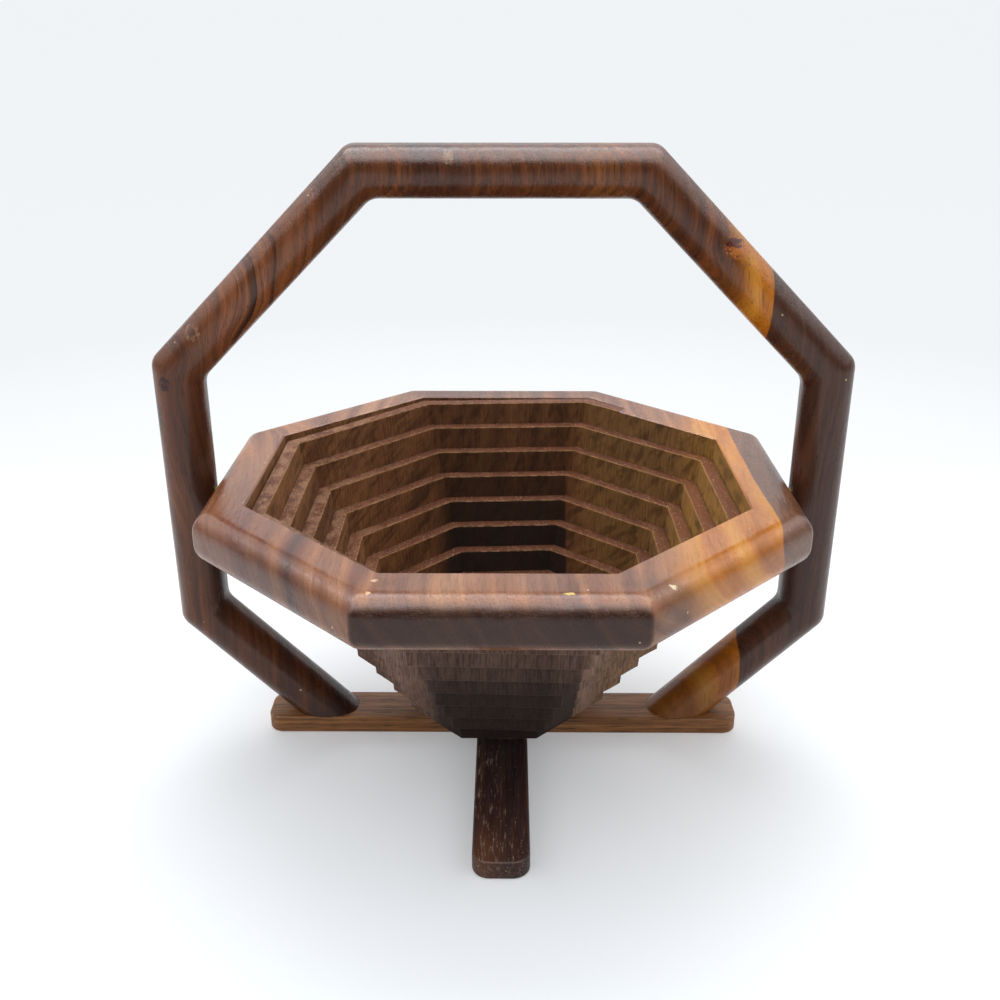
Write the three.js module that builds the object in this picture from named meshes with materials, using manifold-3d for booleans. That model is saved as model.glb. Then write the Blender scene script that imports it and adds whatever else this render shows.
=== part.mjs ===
// A collapsible wooden basket: an octagonal rim and a spiral-cut coil hang in an upright octagonal handle frame.
// Millimetres, +Z up. The origin is on the floor, under the middle of the pivot axis. +X is right, +Y is back.
import * as THREE from "three";
import { mergeVertices } from "three/addons/utils/BufferGeometryUtils.js";
import Module from "manifold-3d";

const wasm = await Module();
wasm.setup();

// The board that the frame, the rim and the coil are cut from
const boardThickness = 22.5;

// Handle frame: an upright octagon with its lowest side left out
const frameApothem = 150;
const frameBarWidth = 21.3;
const frameEdgeRadius = 9.8;
const frameInsideFillet = 8;
const legReach = 112;

// Rim: a flat octagon that hangs between the frame's sides, with a gap to them
const rimGap = 2.7;
const rimWidth = 18;
const rimEdgeRadius = 8.5;

// Spiral cut: it goes round from the rim to the bottom, which hangs open this far above the feet
const fullTurns = 8;
const bottomGap = 8.5;
const sawKerf = 1.2;

// Feet: two equal bars, half-lapped where they cross. The tip is what reaches past the middle of a leg.
const footTip = 27.4;
const footWidth = 23.4;
const footThickness = 8.4;
const footEndRadius = 7;
const footEdgeRadius = 0.8;

// Pivot pins: wooden dowels through the frame's sides into blind holes in the rim
const pinRadius = 2.6;
const pinDepthInRim = 12;
const pinChamfer = 0.5;

// Countersunk wood screws: one under each leg and a short one through the lap
const screwHeadRadius = 3.9;
const screwHeadHeight = 2.4;
const screwShankRadius = 1.9;
const screwTipLength = 4;
const screwSlotWidth = 1;
const screwSlotDepth = 1.1;
const legScrewLength = 24;
const legScrewShift = 6;
const lapScrewLength = 7.6;

// Clearances, and one overrun for every cut
const clearance = 0.3;
const overrun = 5;

// Counts of facets
const roundSegments = 5;
const pinSides = 20;
const cornerSegments = 4;

// Shares: where the turns begin along the back-right side, how much of a turn the last one covers, and how wide
// the cut's end is beside its start
const seamShare = 0.7;
const lastTurnShare = 0.5;
const bottomShare = 0.34;

// Derived sizes
const sides = 8;
const sideAngle = (2 * Math.PI) / sides;
const halfSideTangent = Math.tan(sideAngle / 2);
const pivotHeight = footThickness + legReach;
const innerFrameApothem = frameApothem - frameBarWidth;
const legMiddle = (frameApothem - frameBarWidth / 2) / Math.cos(sideAngle) - legReach;
const legScrewPlace = legMiddle + legScrewShift;
const footLength = 2 * (legMiddle + footTip);
const frameRound = Math.min(frameEdgeRadius, frameBarWidth / 2 - clearance);
const rimApothem = innerFrameApothem - rimGap;
const rimTop = pivotHeight + boardThickness / 2;
const coilTurns = fullTurns + lastTurnShare;
const spiralStart = rimApothem - rimWidth;
const spiralPitch = (spiralStart * (1 - bottomShare)) / (coilTurns + 1);
const turnDrop = (legReach - boardThickness / 2 - bottomGap) / coilTurns;
const bevelTangent = (sawKerf - clearance) / turnDrop;
const bevelInset = boardThickness * bevelTangent;
const seamAngle = Math.atan((2 * seamShare - 1) * halfSideTangent);

const walnut = { color: 0x5a3424, roughness: 0.42, metalness: 0 };
const coilWood = { color: 0x6b4630, roughness: 0.7, metalness: 0 };
const footWood = { color: 0x6e4a32, roughness: 0.6, metalness: 0 };
const dowelWood = { color: 0xa8834f, roughness: 0.65, metalness: 0 };
const steel = { color: 0x9a9a98, roughness: 0.4, metalness: 0.9 };

// Meshes and solids

function toSolid(geometry) {
  const bare = geometry.clone();
  bare.deleteAttribute("normal");
  bare.deleteAttribute("uv");
  const merged = mergeVertices(bare);
  return new wasm.Manifold(
    new wasm.Mesh({
      numProp: 3,
      vertProperties: new Float32Array(merged.attributes.position.array),
      triVerts: new Uint32Array(merged.index.array),
    }),
  );
}

function toGeometry(solid) {
  const mesh = solid.getMesh();
  const geometry = new THREE.BufferGeometry();
  geometry.setAttribute("position", new THREE.BufferAttribute(mesh.vertProperties, 3));
  geometry.setIndex(new THREE.BufferAttribute(mesh.triVerts, 1));
  geometry.computeVertexNormals();
  return geometry;
}

function cut(geometry, ...tools) {
  return toGeometry(tools.reduce((solid, tool) => solid.subtract(toSolid(tool)), toSolid(geometry)));
}

function named(name, geometry, finish) {
  const mesh = new THREE.Mesh(geometry, new THREE.MeshStandardMaterial(finish));
  mesh.name = name;
  return mesh;
}

// A closed solid through outlines of equal length. Each runs counter-clockwise seen against the loft's direction.
function loft(outlines, capFaces) {
  const count = outlines[0].length;
  const positions = outlines.flat().flatMap((point) => point.toArray());
  const lastRow = (outlines.length - 1) * count;
  const faces = [];
  outlines.slice(1).forEach((_, row) => {
    for (let column = 0; column < count; column += 1) {
      const here = row * count + column;
      const next = row * count + ((column + 1) % count);
      faces.push(here, next, next + count, here, next + count, here + count);
    }
  });
  capFaces.forEach(([a, b, c]) => {
    faces.push(c, b, a);
    faces.push(lastRow + a, lastRow + b, lastRow + c);
  });
  const geometry = new THREE.BufferGeometry();
  geometry.setAttribute("position", new THREE.Float32BufferAttribute(positions, 3));
  geometry.setIndex(faces);
  return geometry;
}

// The spiral cut in plan: side i is a straight line square to its own azimuth, a little nearer the middle each time

function sideAzimuth(i) {
  return sideAngle + i * sideAngle;
}

function sideApothem(i) {
  return spiralStart - (spiralPitch * i) / sides;
}

// The corner between side i and the next one, with both lines moved in by the inset
function cornerPoint(i, inset) {
  const here = sideApothem(i) - inset;
  const next = sideApothem(i + 1) - inset;
  const along = (next - here * Math.cos(sideAngle)) / Math.sin(sideAngle);
  return planPoint(i, here, along);
}

// The point of side i that lies on the seam's ray, moved along the side by the shift
function seamPoint(i, inset, shift) {
  const here = sideApothem(i) - inset;
  return planPoint(i, here, here * Math.tan(seamAngle) + shift);
}

function planPoint(i, out, along) {
  const azimuth = sideAzimuth(i);
  const x = out * Math.cos(azimuth) - along * Math.sin(azimuth);
  const y = out * Math.sin(azimuth) + along * Math.cos(azimuth);
  return new THREE.Vector2(x, y);
}

// How many turns the cut has made at the corner after side i
function turnsAtCorner(i) {
  return (i + 1 - seamShare) / sides;
}

function coilTop(turns) {
  return rimTop - turnDrop * turns;
}

function raised(point, height) {
  return new THREE.Vector3(point.x, point.y, height);
}

// Four points round the strip where it is cut across: outer wall i and inner wall i + one turn, both bevelled
function stripSection(place, i, turns) {
  const top = coilTop(turns);
  const bottom = top - boardThickness;
  const kerf = sawKerf / 2;
  return [
    raised(place(i, kerf), top),
    raised(place(i, bevelInset + kerf), bottom),
    raised(place(i + sides, bevelInset - kerf), bottom),
    raised(place(i + sides, -kerf), top),
  ];
}

// A stretch of the coil from the seam on one side to the seam on a later one
function coilStretch(firstSide, lastSide) {
  const gap = clearance / 2;
  const startPlace = (i, inset) => seamPoint(i, inset, gap);
  const endPlace = (i, inset) => seamPoint(i, inset, -gap);
  const outlines = [stripSection(startPlace, firstSide, firstSide / sides)];
  for (let i = firstSide; i < lastSide; i += 1) {
    outlines.push(stripSection(cornerPoint, i, turnsAtCorner(i)));
  }
  outlines.push(stripSection(endPlace, lastSide, lastSide / sides));
  return loft(outlines, [
    [0, 1, 2],
    [0, 2, 3],
  ]);
}

// The plan outline of one whole turn of the cut, from a seam round to the same seam one pitch further in
function turnOutline(firstSide, inset) {
  const outline = [seamPoint(firstSide, inset, 0)];
  for (let i = firstSide; i < firstSide + sides; i += 1) {
    outline.push(cornerPoint(i, inset));
  }
  outline.push(seamPoint(firstSide + sides, inset, 0));
  return outline;
}

// A plug with the bevel of the cut, between two heights
function bevelledPlug(firstSide, inset, top, bottomHeight, topHeight) {
  const outlineAt = (height) => turnOutline(firstSide, inset + (top - height) * bevelTangent);
  const lower = outlineAt(bottomHeight);
  const upper = outlineAt(topHeight);
  const caps = THREE.ShapeUtils.triangulateShape(upper, []);
  const outlines = [lower.map((p) => raised(p, bottomHeight)), upper.map((p) => raised(p, topHeight))];
  return loft(outlines, caps);
}

// Shapes shared by several pieces

function octagonPoint(apothem, azimuth) {
  const radius = apothem / Math.cos(sideAngle / 2);
  return new THREE.Vector2(radius * Math.cos(azimuth), radius * Math.sin(azimuth));
}

// An octagon's corner rounded off between its two sides
function roundedCorner(apothem, azimuth, radius) {
  const centre = octagonPoint(apothem - radius, azimuth);
  const points = [];
  for (let step = 0; step <= cornerSegments; step += 1) {
    const angle = azimuth + (step / cornerSegments - 1 / 2) * sideAngle;
    const offset = new THREE.Vector2(radius * Math.cos(angle), radius * Math.sin(angle));
    points.push(offset.add(centre));
  }
  return points;
}

// The frame's outline in its own plane: an octagon ring open at its lowest side, with the legs left long
function frameShape(outerApothem, innerApothem, innerFillet) {
  const outer = [];
  const inner = [];
  for (let i = 0; i < sides; i += 1) {
    const azimuth = -Math.PI / 2 + (i + 1 / 2) * sideAngle;
    outer.push(octagonPoint(outerApothem, azimuth));
    inner.unshift(...roundedCorner(innerApothem, azimuth, innerFillet).reverse());
  }
  return new THREE.Shape([...outer, ...inner]);
}

function octagonShape(apothem) {
  const outline = [];
  for (let i = 0; i < sides; i += 1) {
    outline.push(octagonPoint(apothem, (i + 1 / 2) * sideAngle));
  }
  return new THREE.Shape(outline);
}

// A flat bar's outline with rounded corners, long side along X
function barShape(length, width, radius) {
  const shape = new THREE.Shape();
  const x = length / 2 - radius;
  const y = width / 2 - radius;
  shape.absarc(x, y, radius, 0, Math.PI / 2);
  shape.absarc(-x, y, radius, Math.PI / 2, Math.PI);
  shape.absarc(-x, -y, radius, Math.PI, 1.5 * Math.PI);
  shape.absarc(x, -y, radius, 1.5 * Math.PI, 2 * Math.PI);
  return shape;
}

function extruded(shape, depth, edgeRadius, segments) {
  return new THREE.ExtrudeGeometry(shape, {
    depth: depth - 2 * edgeRadius,
    bevelEnabled: true,
    bevelThickness: edgeRadius,
    bevelSize: edgeRadius,
    bevelSegments: segments,
    curveSegments: cornerSegments,
  }).translate(0, 0, edgeRadius);
}

function rod(radius, length) {
  return new THREE.CylinderGeometry(radius, radius, length, pinSides);
}

// A hole along X at the pivot's height, from one place to another
function pivotHole(radius, from, to) {
  return rod(radius, to - from)
    .rotateZ(Math.PI / 2)
    .translate((from + to) / 2, 0, pivotHeight);
}

// The space that a countersunk screw takes, standing on its head at the floor
function screwSpace(length, play) {
  const head = screwHeadRadius + play;
  const shank = screwShankRadius + play;
  const coneTop = screwHeadHeight + play;
  const profile = [
    new THREE.Vector2(0, -overrun),
    new THREE.Vector2(head, -overrun),
    new THREE.Vector2(head, 0),
    new THREE.Vector2(shank, coneTop),
    new THREE.Vector2(shank, length + play),
    new THREE.Vector2(0, length + play),
  ];
  return new THREE.LatheGeometry(profile, pinSides).rotateX(Math.PI / 2);
}

// Handle frame

function makeHandleFrame() {
  const outer = frameApothem - frameRound;
  const inner = innerFrameApothem + frameRound;
  const outline = frameShape(outer, inner, frameInsideFillet + frameRound);
  const ring = extruded(outline, boardThickness, frameRound, roundSegments)
    .translate(0, 0, -boardThickness / 2)
    .rotateX(Math.PI / 2)
    .translate(0, 0, pivotHeight);
  const reach = 2 * (frameApothem + overrun);
  const below = new THREE.BoxGeometry(reach, reach, frameApothem);
  below.translate(0, 0, footThickness - frameApothem / 2);
  const screws = [-1, 1].map((side) => screwSpace(legScrewLength, clearance).translate(side * legScrewPlace, 0, 0));
  const pins = [-1, 1].map((side) => framePinHole(side));
  return cut(ring, below, ...screws, ...pins);
}

function framePinHole(side) {
  const from = side * (frameApothem + overrun);
  const to = side * (innerFrameApothem - overrun);
  return pivotHole(pinRadius + clearance, Math.min(from, to), Math.max(from, to));
}

// Rim, with the first pass of the spiral cut as its inner wall

function makeRim() {
  const outline = octagonShape(rimApothem - rimEdgeRadius);
  const board = extruded(outline, boardThickness, rimEdgeRadius, roundSegments).translate(
    0,
    0,
    rimTop - boardThickness,
  );
  const floor = rimTop - boardThickness - overrun;
  const opening = bevelledPlug(0, -sawKerf / 2, rimTop, floor, rimTop + overrun);
  const holes = [-1, 1].map((side) => rimPinHole(side));
  return cut(board, opening, ...holes);
}

function rimPinHole(side) {
  const from = side * (rimApothem - pinDepthInRim - clearance);
  const to = side * (rimApothem + overrun);
  return pivotHole(pinRadius + clearance, Math.min(from, to), Math.max(from, to));
}

// Coil turns and the basket's bottom

function makeCoilTurn(turn) {
  const firstSide = (turn - 1) * sides;
  const lastSide = Math.min(turn, coilTurns) * sides;
  return coilStretch(firstSide, lastSide);
}

function makeBottom() {
  const top = coilTop(coilTurns);
  return bevelledPlug(coilTurns * sides, sawKerf / 2, top, top - boardThickness, top);
}

// Feet

function makeFoot() {
  const outline = barShape(
    footLength - 2 * footEdgeRadius,
    footWidth - 2 * footEdgeRadius,
    footEndRadius - footEdgeRadius,
  );
  return extruded(outline, footThickness, footEdgeRadius, 1);
}

// The half that each bar loses where they cross: the lower half of one, the upper half of the other
function lapNotch(upper) {
  const length = footWidth + 2 * clearance;
  const height = footThickness / 2 + overrun + clearance / 2;
  const middle = upper ? footThickness - height / 2 + overrun : height / 2 - overrun;
  return new THREE.BoxGeometry(length, footWidth + 2 * overrun, height).translate(0, 0, middle);
}

function makeFootBar() {
  const screws = [-1, 1].map((side) => screwSpace(legScrewLength, clearance).translate(side * legScrewPlace, 0, 0));
  return cut(makeFoot(), lapNotch(false), screwSpace(lapScrewLength, clearance), ...screws);
}

function makeCrossFoot() {
  return cut(makeFoot(), lapNotch(true), screwSpace(lapScrewLength, clearance)).rotateZ(Math.PI / 2);
}

// Fasteners

function makePin(side) {
  const outside = frameApothem;
  const length = outside - (rimApothem - pinDepthInRim);
  const profile = [
    new THREE.Vector2(0, 0),
    new THREE.Vector2(pinRadius - pinChamfer, 0),
    new THREE.Vector2(pinRadius, pinChamfer),
    new THREE.Vector2(pinRadius, length - pinChamfer),
    new THREE.Vector2(pinRadius - pinChamfer, length),
    new THREE.Vector2(0, length),
  ];
  const pin = new THREE.LatheGeometry(profile, pinSides).translate(0, outside - length, 0);
  return pin.rotateZ((-side * Math.PI) / 2);
}

function makeScrew(length) {
  const profile = [
    new THREE.Vector2(0, 0),
    new THREE.Vector2(screwHeadRadius, 0),
    new THREE.Vector2(screwShankRadius, screwHeadHeight),
    new THREE.Vector2(screwShankRadius, length - screwTipLength),
    new THREE.Vector2(0, length),
  ];
  const screw = new THREE.LatheGeometry(profile, pinSides).rotateX(Math.PI / 2);
  const slotLength = 2 * (screwHeadRadius + overrun);
  const slot = new THREE.BoxGeometry(slotLength, screwSlotWidth, 2 * screwSlotDepth);
  return cut(screw, slot);
}

// Assembly

const basket = new THREE.Group();

const stand = new THREE.Group();
stand.add(named("handle_frame", makeHandleFrame(), walnut));
stand.add(named("foot_bar", makeFootBar(), footWood));
stand.add(named("cross_foot", makeCrossFoot(), footWood));
[
  ["left", -1],
  ["right", 1],
].forEach(([place, side]) => {
  const screw = named(`leg_screw_${place}`, makeScrew(legScrewLength), steel);
  screw.position.x = side * legScrewPlace;
  const pin = named(`pivot_pin_${place}`, makePin(side), dowelWood);
  pin.position.z = pivotHeight;
  stand.add(screw, pin);
});
stand.add(named("lap_screw", makeScrew(lapScrewLength), steel));

const bowl = new THREE.Group();
bowl.add(named("rim", makeRim(), walnut));
for (let turn = 1; turn <= Math.ceil(coilTurns); turn += 1) {
  bowl.add(named(`coil_turn_${turn}`, makeCoilTurn(turn), coilWood));
}
bowl.add(named("basket_bottom", makeBottom(), walnut));

basket.add(stand, bowl);

export default basket;
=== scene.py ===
"""Looks of a collapsible wooden basket, in metres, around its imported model.

The handle, the rim and the coil are cut from one board. Each piece stores where each of its points lies in
that board, so that one solid wood runs through them all and lines up again when the coil is pushed up flat.
"""

import math

import bmesh
import bpy
import numpy as np
from mathutils import Color, Matrix, Vector


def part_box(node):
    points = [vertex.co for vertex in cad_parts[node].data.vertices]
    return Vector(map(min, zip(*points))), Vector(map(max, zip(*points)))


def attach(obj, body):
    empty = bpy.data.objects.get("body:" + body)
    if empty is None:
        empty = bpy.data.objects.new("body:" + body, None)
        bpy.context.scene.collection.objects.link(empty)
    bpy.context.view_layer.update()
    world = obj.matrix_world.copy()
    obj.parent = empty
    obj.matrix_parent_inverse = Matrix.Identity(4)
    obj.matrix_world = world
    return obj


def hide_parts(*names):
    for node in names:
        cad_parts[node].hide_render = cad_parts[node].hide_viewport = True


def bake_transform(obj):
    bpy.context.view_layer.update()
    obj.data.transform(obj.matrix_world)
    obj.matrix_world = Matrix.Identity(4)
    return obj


MM = 0.001

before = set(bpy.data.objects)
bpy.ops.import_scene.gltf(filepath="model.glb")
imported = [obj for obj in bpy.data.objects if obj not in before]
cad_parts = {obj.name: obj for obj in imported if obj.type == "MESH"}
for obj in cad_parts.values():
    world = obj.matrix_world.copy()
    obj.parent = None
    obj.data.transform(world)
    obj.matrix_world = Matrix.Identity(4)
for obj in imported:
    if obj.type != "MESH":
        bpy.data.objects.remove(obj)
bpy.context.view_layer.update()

# Sizes read from the frame
frame_low, frame_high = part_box("handle_frame")
rim_low, rim_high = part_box("rim")
_, bottom_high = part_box("basket_bottom")
foot_low, foot_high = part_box("foot_bar")
pin_low, pin_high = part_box("pivot_pin_right")
leg_screw_low, leg_screw_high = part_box("leg_screw_right")
_, lap_screw_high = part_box("lap_screw")
THICKNESS = rim_high.z - rim_low.z
PIVOT = (rim_high.z + rim_low.z) / 2
FRAME_APOTHEM = frame_high.x
FOOT_TOP = frame_low.z
RIM_APOTHEM = rim_high.x
RIM_TOP = rim_high.z
FOOT_LENGTH = foot_high.x - foot_low.x
FOOT_WIDTH = foot_high.y - foot_low.y
PIN_RADIUS = pin_high.y
PIN_INNER_END = pin_low.x
PIN_OUTER_END = pin_high.x
LEG_SCREW_PLACE = (leg_screw_low.x + leg_screw_high.x) / 2
LEG_SCREW_TOP = leg_screw_high.z
LAP_SCREW_TOP = lap_screw_high.z

# Sizes of the forms, as in the model
FRAME_BAR_WIDTH = 21.3 * MM
FRAME_ROUND = 9.8 * MM
RIM_WIDTH = 18 * MM
RIM_ROUND = 8.5 * MM
SAW_KERF = 1.2 * MM
CLEARANCE = 0.3 * MM
FOOT_END_ROUND = 7 * MM
SCREW_HEAD_RADIUS = 3.9 * MM
SCREW_HEAD_HEIGHT = 2.4 * MM
SCREW_SHANK_RADIUS = 1.9 * MM
COIL_TURNS = 8.5
SEAM_SHARE = 0.7
BOTTOM_SHARE = 0.34

# Sizes of the finish: how far edges and corners are sanded
INSIDE_CORNER_ROUND = 8 * MM
OUTSIDE_CORNER_ROUND = 7 * MM
RIM_CORNER_ROUND = 3.6 * MM
RIM_LIP_EASE = 0.6 * MM
COIL_EASE = 0.35 * MM
FOOT_EASE = 1.1 * MM
PIN_EASE = 0.5 * MM
PIN_PROUD = 0.15 * MM
SAW_WANDER = 0.12 * MM

# How the saw strayed, in waves as (radians in a turn, start)
WANDER_WAVES = ((61, 0), (137, 1))

# Faces that meet at less than these degrees are shaded as one, and a wall's normal has less height than this
SMOOTH_ANGLE = 40
COIL_SMOOTH_ANGLE = 25
WALL_STEEPNESS = 0.5

# Counts
SIDES = 8
ROUND_STEPS = 9
CORNER_STEPS = 5
SIDE_ROWS = 14
STRETCH_ROWS = 12
EASE_STEPS = 4
PLAN_ROUND_STEPS = 10
PIN_SIDES = 48

# Derived
SIDE_ANGLE = 2 * math.pi / SIDES
HALF_TANGENT = math.tan(SIDE_ANGLE / 2)
SEAM_TANGENT = (2 * SEAM_SHARE - 1) * HALF_TANGENT
SPIRAL_START = RIM_APOTHEM - RIM_WIDTH
SPIRAL_PITCH = SPIRAL_START * (1 - BOTTOM_SHARE) / (COIL_TURNS + 1)
TURN_DROP = (RIM_TOP - bottom_high.z) / COIL_TURNS
BEVEL_TANGENT = (SAW_KERF - CLEARANCE) / TURN_DROP
TURN_COUNT = math.ceil(COIL_TURNS)
LAST_SIDE = round(COIL_TURNS * SIDES)
FRAME_FRONT = -THICKNESS / 2 / MM

# Colours along a noise from 0 to 1
FRAME_BANDS = ((0.3, "432416"), (0.42, "5e3119"), (0.52, "77411f"), (0.62, "5b3019"), (0.74, "7d4725"))
RIM_BANDS = ((0.3, "452519"), (0.42, "77452c"), (0.52, "a96e46"), (0.62, "7d482d"), (0.74, "b57950"))
SAPWOOD_BANDS = ((0.3, "86480c"), (0.45, "bd6e18"), (0.6, "d48c2c"), (0.75, "a85c14"))
WALL_BANDS = ((0.3, "55351f"), (0.45, "805433"), (0.6, "94653f"), (0.75, "6b452d"))
# Outer walls: the wood greyed by a painted sheen
OUTSIDE_WOOD_AND_SHEEN_BANDS = ((0.3, "563e34"), (0.5, "7c5e4f"), (0.7, "927466"))
LEDGE_BANDS = ((0.3, "35180c"), (0.5, "5f3520"), (0.68, "8a5a3e"))
FOOT_BAR_BANDS = ((0.3, "5c381b"), (0.5, "80522b"), (0.7, "a3703e"))
CROSS_FOOT_BANDS = ((0.35, "190b09"), (0.5, "2b140f"), (0.7, "4a2a1c"))
DOWEL_BANDS = ((0.35, "8f7445"), (0.65, "c2a56c"))
STEEL_BANDS = ((0.3, "8d8f92"), (0.7, "b4b6b8"))

# Places in the board in millimetres: swells that the rings flow round, as (x, y, width, height), soft tones
# as (x, y, width, length, colour, strength), some of them painted shade, and marks near the surface, as
# (x, y, width, length, colour)
SWELLS = ((-108, 66, 13, 11), (-136, 66, 9, -8), (88, 112, 10, 7))
FRAME_TONES_AND_SHADE = (
    (-100, 85, 30, 45, "b06a40", 0.6),
    (39.5, 136, 7, 30, "9a5a22", 0.6),
    # Painted shade: the left bar's inner side, which the light from the left misses
    (-130, 0, 8, 75, "231511", 0.7),
    # Painted shade: the lower left leg, darkened by this tone and the next
    (-115, -105, 40, 34, "2a1a14", 0.5),
    (-82, -112, 14, 12, "180e0a", 0.6),
    # Painted shade: the lower right leg's sapwood, which lies in shade
    (95, -118, 45, 32, "43210a", 0.8),
    (145, -10, 14, 80, "2e1d18", 0.4),
)
RIM_TONES_AND_SHADE = (
    (-108, -58, 26, 45, "7c4a3c", 0.5),
    (-96, -92, 16, 10, "2c1a18", 0.4),
    (58, -113, 12, 6, "5a3722", 0.6),
    (-20, -112, 7, 20, "c08a5c", 0.5),
    # Painted shade: the rim's back side, darkened
    (-10, 117, 75, 9, "4a2e24", 0.65),
)
CROSS_FOOT_TONES = ((7, -106, 7, 14, "6e4426", 0.4), (-3, -60, 8, 30, "15090a", 0.5))
FRAME_MARKS = (
    (-129.6, 75.6, 3.6, 3.6, "8d6650"),
    (-129.6, 75.6, 2.2, 2.2, "5a3626"),
    (-143.5, 53.2, 2.6, 3.4, "30120f"),
    (-148.5, 36, 2.0, 8, "1d1410"),
    (95.5, 111, 6.4, 4.6, "b0662c"),
    (94.0, 112.6, 5.0, 2.2, "4a1512"),
    (-21.5, 146, 2.2, 3.4, "8a6a55"),
)
RIM_MARKS = (
    (24, -119.6, 2.1, 0.8, "ecc878"),
    (-44.8, -110.5, 1.6, 1.0, "dcb48c"),
    (-46.2, -119.5, 1.0, 0.8, "e8b98a"),
    (61, -112, 2.2, 0.9, "e2c9a4"),
    (75, -113, 2.6, 1.2, "4a2a18"),
)
MARK_DEPTH = 6

# Grains of the wood: waves in a millimetre of the board's X, Y and thickness, the noise's detail and
# roughness, and, where only a part of it counts, a step as below
DRIFT = ((0.007, 0.0045, 0.01), 1, 0.5, 0.25, 0.75, -9, 9)
WOBBLE = ((0.05, 0.014, 0.05), 2, 0.5)
DASHES = ((0.55, 0.05, 0.55), 2, 0.5, 0.5, 0.62)
PORES = ((2.1, 0.13, 2.1), 1, 0.5, 0.58, 0.66)
MARK_UNEVENNESS = ((0.7, 0.7, 0.7), 3, 0.75, 0.3, 0.7, 0.3, 1.7)
SMEAR = ((0.05, 0.03, 0.05), 3, 0.5)
FLAMES = ((0.24, 0.05, 0.09), 2, 0.6, 0.47, 0.66)
SAW_MARKS = ((1.1, 1.1, 0.045), 3, 0.7, 0.4, 0.68)
FIBRES = ((0.8, 0.09, 0.8), 4, 0.7)
MOTTLE = ((0.16, 0.1, 0.16), 4, 0.7, 0.4, 0.6)
EDGE_HIGHLIGHT_BREAKS = ((0.3, 0.3, 0.3), 3, 0.5, 0.4, 0.6, 0.15, 0.8)
GRIT = ((0.9, 0.9, 0.9), 2, 0.5)
FOOT_GRAIN = ((0.6, 0.012, 0.6), 4, 0.65)
FOOT_PORES = ((1.7, 0.08, 1.7), 2, 0.5, 0.55, 0.66)
FOOT_RUBBED = ((0.05, 0.03, 0.05), 2, 0.5, 0.4, 0.6)
SCUFFS = ((1.4, 0.12, 1.4), 4, 0.8, 0.57, 0.66)
DOWEL_GRAIN = ((1.4, 0.05, 1.4), 3, 0.6)
STEEL_GRAIN = ((0.6, 0.6, 4), 3, 0.5)
FLAME_DISTORTION = 0.3

# Grains along the growth rings: waves in a millimetre across and along them, where the noise starts, and the
# rest as above
STREAKS = (0.055, 0.003, 3, 3, 0.6)
RIM_STREAKS = (0.055, 0.003, 3, 1.5, 0.6)
LATE_STRENGTH = (0.05, 0.003, 9, 1, 0.5, 0.4, 0.62)
LINES = (0.75, 0.015, 0, 3, 0.7, 0.42, 0.68)
SAPWOOD = (0.09, 0.008, 0, 3, 0.5)
STRIPES = (0.3, 0.004, 5, 2, 0.6, 0.35, 0.65)

# Steps: where a value starts and ends to count, then what it counts there, unless that is 0 and 1
DOWNWARDS = (0, 1, 1, 0)
WOBBLE_BEND = (0.2, 0.8, -1.8, 1.8)
DASH_ZONE = (40, 66, 1, 0)
EDGE_WAVER = (0.2, 0.8, -1.3, 1.3)
EDGE_CURVE = (0, 110, 0.5, -1)
EDGE_STEP = (110.1, 110.8)
SAPWOOD_START = (-20, 85, -70, -90)
SAPWOOD_STEP = (-12, 10)
DARK_LEFT_STEP = (-38, -26)
DARK_RIGHT_STEP = (31.5, 33, 1, 0)
DARK_REACH = (62, 104, 1, 0)
MARK_STEP = (0.3, 0.6)
END_GRAIN_AND_SHADE_STEP = (0.5, 0.98)
LACQUER_ROUGHNESS = (0.3, 0.7, 0.2, 0.32)
OUTWARDS_STEP = (-5, 5)
RIGHT_WALL_STEP = (33, 50)
RIGHT_OUTSIDE_STEP = (25, 60)
PAINTED_SHEEN_LEDGE_ZONE = (-95, -45, 0.9, 0.1)
LEDGE_STEP = (0.75, 0.93)
EDGE_HIGHLIGHT_FROM_STEP = (0.35, 0.6)
EDGE_HIGHLIGHT_TO_STEP = (0.8, 0.95, 1, 0)
SAWN_ROUGHNESS = (0.6, 0.9, 0.7, 0.5)
STEEL_ROUGHNESS = (0.3, 0.7, 0.28, 0.45)

# Stains: how far a colour covers the wood, and its code
PIT_STAIN = (0.8, "2a190e")
EDGE_STAIN = (0.6, "402c25")
DUST_STAIN = (0.75, "d8b896")
RIGHT_WALL_STAIN = (0.5, "a07a45")
GOLDEN_WALL_STAIN = (0.8, "b88745")
RIGHT_OUTSIDE_STAIN = (0.6, "8f6c48")
GOLDEN_LEDGE_STAIN = (0.4, "8a5226")
PAINTED_SHEEN_LEDGE_STAIN = (0.8, "a37a5e")
LEDGE_DUST_STAIN = (0.8, "e2bb9d")
FOOT_PORE_STAIN = (0.6, "1f120c")
END_GRAIN_AND_SHADE_COLOUR = "24110c"
PORE_COLOUR = "20110c"
HEART_LINE_COLOUR = "2c1912"
SAPWOOD_LINE_COLOUR = "7d4a1c"
EDGE_HIGHLIGHT_COLOUR = "b08259"
SCUFF_COLOUR = "b79a86"

# Specks: a cell's width in millimetres, the share of cells with a dot, and the dot's reach in cells
PITS = (5, 0.2, 0.09)
DUST = (6, 0.15, 0.1)
LEDGE_DUST = (1.3, 0.35, 0.26)
FOOT_DUST = (2.2, 0.35, 0.14)
DOT_CORE_SHARE = 0.5
DOT_CHOICE_EDGE = 0.02

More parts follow.
